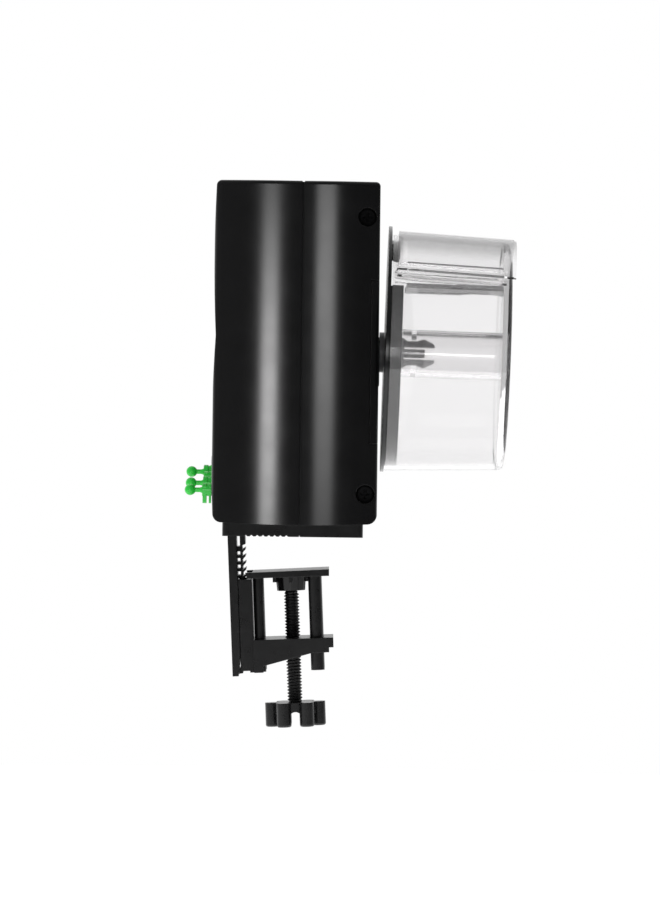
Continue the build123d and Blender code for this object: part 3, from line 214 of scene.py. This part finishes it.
def clear_plastic(name, density, painted_edge_shade, clarity):
    """Clear moulded plastic: flow lines, a trace of haze, and painted shade that greys it where it
    turns edge on.
    """
    material = bpy.data.materials.new(name)
    material.use_nodes = True
    n = Nodes(material.node_tree)
    where = n.place()
    flow = n.noise(n.place((30, 90, 90)), 1.2, 4, 0.6, 0.4)
    haze = n.noise(where, 500, 4, 0.65)
    scratches = n.noise(n.place((900, 50, 420), (0.2, 0.4, 0.1)), 3.0, 3, 0.6)
    hairs = n.spread(scratches, 0, 1, 0.68, 0.78)
    rough = n.math("ADD", n.spread(haze, CLEAR_ROUGHNESS * 0.6, CLEAR_ROUGHNESS * 1.5),
                   n.math("MULTIPLY", hairs, 0.12))
    height = n.math("ADD", flow, n.math("MULTIPLY", hairs, -0.02))
    bump = n.make("ShaderNodeBump", {"Height": height, "Distance": 3e-5, "Strength": 0.6})
    base = n.mix(n.spread(haze, 0, 1), scaled(CLEAR_TINT, 0.985), CLEAR_TINT)
    # painted shade: the tint is darkened where the surface turns edge on to the view
    facing = n.make("ShaderNodeLayerWeight", {"Blend": 0.5}).outputs["Facing"]
    base = n.mix(n.spread(facing, 0, 1, 0.42, 0.74), base, scaled(CLEAR_TINT, painted_edge_shade))
    shader = n.make("ShaderNodeBsdfPrincipled", {
        "Base Color": base, "Roughness": rough, "IOR": PLASTIC_IOR,
        "Transmission Weight": clarity, "Normal": bump.outputs[0]})
    body = n.make("ShaderNodeVolumeAbsorption", {"Color": CLEAR_BODY, "Density": density})
    n.make("ShaderNodeOutputMaterial", {"Surface": shader.outputs[0],
                                        "Volume": body.outputs[0]})
    return material


def smoke_plastic(name, tint, cover):
    """Grey see-through plastic: part body colour, part what lies behind."""
    material = bpy.data.materials.new(name)
    material.use_nodes = True
    n = Nodes(material.node_tree)
    where = n.place()
    flow = n.noise(n.place((30, 90, 90)), 1.6, 4, 0.6, 0.4)
    haze = n.noise(where, 420, 4, 0.65)
    base = n.mix(n.spread(haze, 0, 1), scaled(tint, 0.85), scaled(tint, 1.15))
    bump = n.make("ShaderNodeBump", {"Height": flow, "Distance": 2e-5, "Strength": 0.6})
    shader = n.make("ShaderNodeBsdfPrincipled", {
        "Base Color": base, "Roughness": n.spread(haze, 0.18, 0.3), "IOR": PLASTIC_IOR,
        "Alpha": cover, "Normal": bump.outputs[0]})
    n.make("ShaderNodeOutputMaterial", {"Surface": shader.outputs[0]})
    return material


BLACK = (0.0042, 0.0042, 0.0045)
FINISHES = {
    "case_black": dict(colour=BLACK, roughness=0.17, grain=5200, depth=1.2e-6, spread=0.015,
                       scuffs=0.1, mottle=90, dust=0.02, edge=0.0002, dull_recess=0.004),
    "clamp_black": dict(colour=BLACK, roughness=0.3, grain=3200, depth=3e-6, scuffs=0.3,
                        edge=0.0004),
    "lid_black": dict(colour=scaled(BLACK, 1.4), roughness=0.2, grain=5200, depth=2e-6),
    # near-black screw heads: painted shade for the deep screw wells
    "screw_black": dict(colour=(0.012, 0.012, 0.013), roughness=0.4, metal=0.6, grain=900,
                        depth=4e-6, brushed=(6, 6, 1), mottle_share=0.1, specular=0.3),
    "shaft_grey": dict(colour=(0.30, 0.30, 0.31), roughness=0.3, grain=4200, depth=3e-6,
                       mottle_share=0.06),
    "pin_green": dict(colour=(0.028, 0.56, 0.055), roughness=0.24, grain=6000, depth=2e-6,
                      mottle=500, mottle_share=0.08, subsurface=0.12),
    "dial_plastic": dict(colour=(0.016, 0.016, 0.017), roughness=0.38, grain=3600, depth=6e-6),
    "gear_nylon": dict(colour=(0.72, 0.70, 0.63), roughness=0.42, grain=2600, depth=5e-6,
                       mottle_share=0.05, subsurface=0.15),
    "movement_plastic": dict(colour=(0.03, 0.03, 0.033), roughness=0.45, grain=2800,
                             depth=8e-6),
    "board_green": dict(colour=(0.012, 0.11, 0.04), roughness=0.32, grain=1800, depth=4e-6,
                        mottle=900, mottle_share=0.2),
    "switch_plastic": dict(colour=(0.035, 0.035, 0.042), roughness=0.4, grain=3200, depth=5e-6),
    "steel": dict(colour=(0.56, 0.56, 0.57), roughness=0.28, metal=1.0, grain=900, depth=4e-6,
                  brushed=(6, 1, 6), mottle_share=0.08, anisotropic=0.3),
    "motor_can": dict(colour=(0.60, 0.60, 0.61), roughness=0.24, metal=1.0, grain=700,
                      depth=3e-6, brushed=(1, 8, 8), mottle_share=0.06, anisotropic=0.3),
    "brass": dict(colour=(0.72, 0.52, 0.22), roughness=0.26, metal=1.0, grain=900, depth=3e-6,
                  mottle_share=0.08),
    "contact_metal": dict(colour=(0.70, 0.69, 0.67), roughness=0.2, metal=1.0, grain=1500,
                          depth=2e-6, mottle_share=0.06),
    "mark_white": dict(colour=(0.72, 0.72, 0.70), roughness=0.5, grain=3000, depth=3e-6,
                       mottle_share=0.06),
    "cell_sleeve": dict(colour=(0.06, 0.062, 0.07), roughness=0.3, grain=1500, depth=3e-6,
                        coat=0.4),
}
materials = {name: finish_material(name, **look) for name, look in FINISHES.items()}
materials["clear_plastic"] = clear_plastic("clear_plastic", density=10, painted_edge_shade=0.84, clarity=0.97)
materials["gate_clear"] = clear_plastic("gate_clear", density=14, painted_edge_shade=0.26, clarity=0.985)
materials["smoke_plastic"] = smoke_plastic("smoke_plastic", tint=(0.16, 0.16, 0.165), cover=0.62)

# a node whose moulding differs from the rest of its slot
OWN_LOOK = {"drum_gate": "gate_clear"}
slot_of = {part["node"]: part["material_slot"] for part in frame["record"]["subparts"]}
for name, node in frame["nodes"].items():
    node.data.materials.clear()
    node.data.materials.append(materials[OWN_LOOK.get(name, slot_of[name])])
    for polygon in node.data.polygons:
        polygon.use_smooth = True


# ---- detail pieces around the CAD frame ----
joints = {joint["name"]: joint for joint in frame["record"]["behaviour"]["joints"]}


def add_piece(name, mesh, body, slot, smooth=True, look=None):
    """Puts a mesh in the scene, on a body, with its slot's material or a look of its own."""
    piece = bpy.data.objects.new(name, mesh)
    scene.collection.objects.link(piece)
    mesh.materials.clear()
    mesh.materials.append(materials[look or slot])
    for polygon in mesh.polygons:
        polygon.use_smooth = smooth
    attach(piece, body)
    return piece


def mesh_of(form, name):
    """The finished mesh of a bmesh form, its faces turned outwards."""
    bmesh.ops.recalc_face_normals(form, faces=form.faces)
    mesh = bpy.data.meshes.new(name)
    form.to_mesh(mesh)
    form.free()
    return mesh


def lathe(profile, origin, axis, sides, thread):
    """A closed turned form from (height, radius) pairs along an axis.

    Where a radius is None, thread(height, angle) gives it.
    """
    axis = Vector(axis).normalized()
    across = axis.orthogonal().normalized()
    up = axis.cross(across)
    form = bmesh.new()
    rows = []
    for height, radius in profile:
        row = []
        for side in range(sides):
            angle = 2 * math.pi * side / sides
            reach = thread(height, angle) if radius is None else radius
            outwards = across * math.cos(angle) + up * math.sin(angle)
            row.append(form.verts.new(Vector(origin) + axis * height + outwards * reach))
        rows.append(row)
    for low_row, high_row in zip(rows, rows[1:]):
        for side in range(sides):
            after = (side + 1) % sides
            form.faces.new((low_row[side], low_row[after], high_row[after], high_row[side]))
    form.faces.new(list(reversed(rows[0])))
    form.faces.new(rows[-1])
    return mesh_of(form, "lathe")


# the clamp screw with a true right-hand helical thread
SCREW_PITCH = 0.00125
SCREW_SIDES = 40
STEPS_PER_TURN = 10
CREST_R = 0.003
ROOT_R = 0.00245
ROOT_FLAT = 0.12
FLANK = 0.26
THREAD_LOW, THREAD_HIGH = -0.0268, 0.0174
# plain ends beyond the thread: in the knob below, and the neck and head in the plate above
SCREW_FOOT = [(-0.0298, 0.0019), (-0.0295, 0.0022), (THREAD_LOW - 0.00002, 0.0022)]
SCREW_HEAD = [(THREAD_HIGH + 0.0002, 0.0019), (0.0188, 0.0019), (0.0191, 0.0025),
              (0.0200, 0.0025), (0.0203, 0.0022), (0.0205, 0.0012)]


def thread_radius(height, angle):
    """Trapezoid thread that runs out smoothly over its first and last turn."""
    phase = (height / SCREW_PITCH - angle / (2 * math.pi)) % 1.0
    rise = min(max((abs(phase - 0.5) - ROOT_FLAT) / FLANK, 0.0), 1.0)
    run_out = min(1.0, (THREAD_HIGH - height) / SCREW_PITCH,
                  (height - THREAD_LOW) / SCREW_PITCH + 0.3)
    return ROOT_R + (CREST_R - ROOT_R) * rise * max(run_out, 0.0)


steps = int((THREAD_HIGH - THREAD_LOW) / (SCREW_PITCH / STEPS_PER_TURN))
threaded = [(THREAD_LOW + (THREAD_HIGH - THREAD_LOW) * i / steps, None) for i in range(steps + 1)]
screw_joint = joints["screw_turn"]
screw_mesh = lathe(SCREW_FOOT + threaded + SCREW_HEAD, screw_joint["pos_m"], screw_joint["axis"],
                   SCREW_SIDES, thread_radius)
screw_thread = add_piece("screw_thread", screw_mesh, "clamp_screw", "clamp_black")
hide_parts("clamp_screw")

# dial markings: 24 hour numbers and quarter-hour ticks, raised a hair above the face
DIAL_FACE_X = joints["dial_turn"]["pos_m"][0]
DIAL_AXIS_Z = joints["dial_turn"]["pos_m"][2]
MARK_RAISE = 0.00008
MARK_SINK = 0.00005
HOURS = 24
TICKS = 4 * HOURS
TICK_OUTER_R = 0.0314
HOUR_TICK = (0.0028, 0.0004)      # length, width
QUARTER_TICK = (0.0016, 0.00022)
NUMBER_R = 0.0258
NUMBER_SIZE = 0.0036
WELD = 1e-7
FORWARD = Vector((-1, 0, 0))      # out of the dial's face


def on_dial(radius, angle):
    """A spot on the dial's face, by clock angle from the top as seen from the front."""
    return Vector((DIAL_FACE_X, -radius * math.sin(angle), DIAL_AXIS_Z + radius * math.cos(angle)))


def dial_bar(form, inner, outer, width, angle):
    """One raised tick, pointing outwards."""
    near, far = on_dial(inner, angle), on_dial(outer, angle)
    side = (far - near).normalized().cross(-FORWARD) * width / 2
    corners = [near - side, far - side, far + side, near + side]
    base = [form.verts.new(c - FORWARD * MARK_SINK) for c in corners]
    top = [form.verts.new(c + FORWARD * MARK_RAISE) for c in corners]
    form.faces.new(base)
    form.faces.new(list(reversed(top)))
    for i in range(4):
        j = (i + 1) % 4
        form.faces.new((base[i], top[i], top[j], base[j]))


marks = bmesh.new()
for tick in range(TICKS):
    length, width = QUARTER_TICK if tick % 4 else HOUR_TICK
    dial_bar(marks, TICK_OUTER_R - length, TICK_OUTER_R, width, 2 * math.pi * tick / TICKS)
for hour in range(1, HOURS + 1):
    words = bpy.data.curves.new("hour", "FONT")
    words.body = str(hour)
    words.size = NUMBER_SIZE
    words.align_x = "CENTER"
    words.align_y = "CENTER"
    words.extrude = MARK_RAISE
    words.resolution_u = 4
    holder = bpy.data.objects.new("hour", words)
    scene.collection.objects.link(holder)
    bpy.context.view_layer.update()
    evaluated = holder.evaluated_get(bpy.context.evaluated_depsgraph_get())
    drawn = bpy.data.meshes.new_from_object(evaluated)
    angle = 2 * math.pi * hour / HOURS
    outward = (on_dial(NUMBER_R, angle) - on_dial(0, angle)).normalized()
    stand = Matrix((outward.cross(FORWARD), outward, FORWARD)).transposed().to_4x4()
    stand.translation = on_dial(NUMBER_R, angle)
    drawn.transform(stand)
    marks.from_mesh(drawn)
    bpy.data.objects.remove(holder)
    bpy.data.meshes.remove(drawn)
    bpy.data.curves.remove(words)
bmesh.ops.remove_doubles(marks, verts=marks.verts, dist=WELD)
add_piece("dial_marks", mesh_of(marks, "dial_marks"), "dial", "dial_plastic", smooth=False,
          look="mark_white")

# feed button: a raised ring on its cap, as (depth behind the cap's face, radius) pairs
RING = [(0.0002, 0.0023), (-0.0001, 0.00235), (-0.0002, 0.0026), (-0.0002, 0.0029),
        (-0.0001, 0.00315), (0.0002, 0.0032)]
RING_SIDES = 64
button_low, button_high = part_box("feed_button")
button_face = (button_low + button_high) / 2
button_face.x = button_low.x
ring_form = bmesh.new()
ring_rows = []
for height, radius in RING:
    row = []
    for k in range(RING_SIDES):
        angle = 2 * math.pi * k / RING_SIDES
        offset = Vector((height, radius * math.cos(angle), radius * math.sin(angle)))
        row.append(ring_form.verts.new(button_face + offset))
    ring_rows.append(row)
for row, after_row in zip(ring_rows, ring_rows[1:] + ring_rows[:1]):
    for k in range(RING_SIDES):
        j = (k + 1) % RING_SIDES
        ring_form.faces.new((row[k], row[j], after_row[j], after_row[k]))
add_piece("button_ring", mesh_of(ring_form, "button_ring"), "feed_button", "dial_plastic",
          look="mark_white")

# battery springs: tapering coils of round wire in place of the CAD's stacked rings
SPRING_TURNS = 3.2
SPRING_HEIGHT = 0.0019
FLAT_SHARE = 0.15                 # the part of the coil that lies flat on its base
POINTS_PER_TURN = 16
WIDE_R, NARROW_R = 0.0044, 0.0024
WIRE_R = 0.00035
CAD_WIRE_R = 0.00041
spring_low, spring_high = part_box("battery_springs")
coil = bpy.data.curves.new("spring_coils", "CURVE")
coil.dimensions = "3D"
coil.bevel_depth = WIRE_R
coil.bevel_resolution = 3
coil.use_fill_caps = True
near_y = spring_low.y + WIDE_R + CAD_WIRE_R
far_y = spring_high.y - WIDE_R - CAD_WIRE_R
spring_x = (spring_low.x + spring_high.x) / 2
for y, z, grow in ((near_y, spring_low.z + CAD_WIRE_R, 1), (far_y, spring_high.z - CAD_WIRE_R, -1)):
    turns = coil.splines.new("NURBS")
    points = int(SPRING_TURNS * POINTS_PER_TURN)
    turns.points.add(points - 1)
    for k in range(points):
        share = k / (points - 1)
        reach = WIDE_R + (NARROW_R - WIDE_R) * share
        angle = 2 * math.pi * SPRING_TURNS * share
        lift = SPRING_HEIGHT * max(0.0, share - FLAT_SHARE) / (1 - FLAT_SHARE)
        turns.points[k].co = (spring_x + reach * math.cos(angle), y + reach * math.sin(angle),
                              z + grow * lift, 1)
    turns.order_u = 4
    turns.use_endpoint_u = True
springs = bpy.data.objects.new("spring_coils", coil)
scene.collection.objects.link(springs)
coil.materials.append(materials["contact_metal"])
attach(springs, "feeder")
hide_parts("battery_springs")


# ---- studio: pale floor, white surround, three strip lights on the camera's side ----
def studio_surface(name):
    material = bpy.data.materials.new(name)
    material.use_nodes = True
    n = Nodes(material.node_tree)
    where = n.place()
    base = n.mix(n.spread(n.noise(where, 3, 3), 0, 1), (0.86, 0.86, 0.865), (0.9, 0.9, 0.9))
    bump = n.make("ShaderNodeBump", {"Height": n.noise(where, 240, 4), "Distance": 1e-4,
                                     "Strength": 0.3})
    shader = n.make("ShaderNodeBsdfPrincipled", {
        "Base Color": base, "Roughness": 0.85, "Normal": bump.outputs[0],
        "Emission Color": (1, 1, 1, 1), "Emission Strength": 0.5})
    n.make("ShaderNodeOutputMaterial", {"Surface": shader.outputs[0]})
    return material


FLOOR_DROP = 0.075
FLOOR_RADIUS = 0.8
FLOOR_SIDES = 96
floor_mesh = bpy.data.meshes.new("studio_floor")
floor_form = bmesh.new()
bmesh.ops.create_circle(floor_form, cap_ends=True, radius=FLOOR_RADIUS, segments=FLOOR_SIDES)
floor_form.to_mesh(floor_mesh)
floor_form.free()
floor = bpy.data.objects.new("studio_floor", floor_mesh)
floor.location = (0, 0, cad_low.z - FLOOR_DROP)
floor_mesh.materials.append(studio_surface("studio_floor"))
scene.collection.objects.link(floor)

world = bpy.data.worlds.new("studio")
scene.world = world
world.use_nodes = True
w = Nodes(world.node_tree)
path = w.make("ShaderNodeLightPath").outputs
generated = w.make("ShaderNodeTexCoord").outputs["Generated"]
direction = w.make("ShaderNodeSeparateXYZ", {0: generated}).outputs
# reflections see a dark studio that brightens behind the object, overhead and past the dial
behind = w.spread(direction["Y"], 0.05, 0.95, -0.1, 0.85)
dial_side = w.spread(direction["X"], 0.0, 0.14, -0.15, -0.6)
overhead = w.spread(direction["Z"], 0.0, 0.2, 0.3, 1.0)
glossy = w.math("ADD", w.math("ADD", behind, overhead), dial_side)
seen = w.math("MAXIMUM", path["Is Camera Ray"], path["Is Transmission Ray"])
# rays that clear plastic has bent sideways see the darker sides of the studio
sides = w.spread(w.math("ABSOLUTE", direction["Y"]), 0.5, 1.0, 0.5, 0.97)
through = w.math("MAXIMUM", path["Is Camera Ray"], sides)
# diffuse rays see plain white, the rest of what isn't seen directly is reflections
diffuse = path["Is Diffuse Ray"]
lighting = w.math("ADD", diffuse, w.math("MULTIPLY", w.math("SUBTRACT", 1.0, diffuse), glossy))
strength = w.math("ADD", w.math("MULTIPLY", seen, through),
                  w.math("MULTIPLY", w.math("SUBTRACT", 1.0, seen), lighting))
surround = w.make("ShaderNodeBackground", {"Color": (1, 1, 1, 1), "Strength": strength})
w.make("ShaderNodeOutputWorld", {"Surface": surround.outputs[0]})

SOFT_EDGE = 0.25                  # the share of a strip's half width that fades out


def strip_light(name, place, size, radiance, ramp, lit):
    """An upright soft light on the nodes in lit, with its brightness set along its height."""
    data = bpy.data.lights.new(name, "AREA")
    data.shape = "RECTANGLE"
    data.size, data.size_y = size
    data.energy = radiance * math.pi * size[0] * size[1]
    data.use_nodes = True
    n = Nodes(data.node_tree)
    parametric = n.make("ShaderNodeNewGeometry").outputs["Parametric"]
    spot = n.make("ShaderNodeSeparateXYZ", {0: parametric}).outputs
    curve = n.make("ShaderNodeValToRGB", {"Fac": spot["Y"]})
    while len(curve.color_ramp.elements) < len(ramp):
        curve.color_ramp.elements.new(0.5)
    for element, (position, level) in zip(curve.color_ramp.elements, ramp):
        element.position = position
        element.color = (level, level, level, 1)
    off_centre = n.math("SUBTRACT", n.math("MULTIPLY", spot["X"], 2.0), 1.0)
    inwards = n.math("SUBTRACT", 1.0, n.math("ABSOLUTE", off_centre))
    soft = n.spread(inwards, 0, 1, 0.0, SOFT_EDGE)
    level = n.math("MULTIPLY", soft, curve.outputs["Color"])
    glow = n.make("ShaderNodeEmission", {"Strength": level})
    n.make("ShaderNodeOutputLight", {"Surface": glow.outputs[0]})
    light = bpy.data.objects.new(name, data)
    light.location = place
    light.rotation_euler = (math.radians(90), 0, 0)
    light.visible_camera = False
    scene.collection.objects.link(light)
    group = bpy.data.collections.new(name + "_lit")
    for node in lit:
        group.objects.link(node)
    light.light_linking.receiver_collection = group


# each strip lights its own nodes, so that each casing half shows its own highlight
FRONT_HALF = ["front_shell", "trip_key", "dial", "feed_button",
              "trip_pin_1", "trip_pin_2", "trip_pin_3"]
CLAMP_PARTS = ["jaw_plate", "rack_arm", "clamp_bracket", "clamp_plate", "clamp_knob"]
UNLIT = ["case_screws"]
front_lit = [frame["nodes"][name] for name in FRONT_HALF]
clamp_lit = [frame["nodes"][name] for name in CLAMP_PARTS] + [screw_thread]
rear_lit = [node for name, node in frame["nodes"].items()
            if name not in FRONT_HALF + CLAMP_PARTS + UNLIT]
LIGHT_LOW, LIGHT_HIGH = -0.06, 0.20
LIGHT_HEIGHT = LIGHT_HIGH - LIGHT_LOW
LIGHT_DISTANCE = 1.5
SIDE_Y = -0.045                   # the crown of the casing's near side
CLAMP_LIGHT_DROP = 0.12


def ramp_for(levels):
    """Levels by height on the casing, as places on the strip that the camera sees mirrored."""
    places = []
    reach = (LIGHT_DISTANCE + SIDE_Y) / (CAMERA_DISTANCE + SIDE_Y)
    for height, level in levels:
        mirrored = height + (height - CAMERA_Z) * reach
        share = (mirrored - LIGHT_LOW) / LIGHT_HEIGHT
        places.append((min(max(share, 0), 1), level))
    return places


middle_z = (LIGHT_LOW + LIGHT_HIGH) / 2
# (height, level) pairs, set so that each highlight fades along its height as in the photograph
FRONT_LEVELS = ((0.0, 0.5), (0.006, 0.63), (0.014, 0.82), (0.032, 1.0), (0.052, 0.92),
                (0.072, 0.94), (0.092, 0.66), (0.108, 0.32), (0.124, 0.05), (0.132, 0.0))
REAR_LEVELS = ((0.0, 0.16), (0.012, 0.31), (0.032, 0.36), (0.052, 0.46), (0.075, 0.56),
               (0.092, 0.71), (0.108, 0.86), (0.124, 1.0), (0.133, 0.77), (0.139, 0.3))
EVEN = [(0.0, 1.0), (1.0, 1.0)]
strip_light("strip_front", place=(-0.047, -LIGHT_DISTANCE, middle_z), size=(0.265, LIGHT_HEIGHT),
            radiance=17.5, ramp=ramp_for(FRONT_LEVELS), lit=front_lit)
strip_light("strip_rear", place=(-0.002, -LIGHT_DISTANCE, middle_z), size=(0.37, LIGHT_HEIGHT),
            radiance=9.3, ramp=ramp_for(REAR_LEVELS), lit=rear_lit)
strip_light("strip_clamp", place=(-0.06, -LIGHT_DISTANCE, middle_z - CLAMP_LIGHT_DROP),
            size=(0.10, 0.5), radiance=0.28, ramp=EVEN, lit=clamp_lit)

scene.view_settings.view_transform = "Standard"
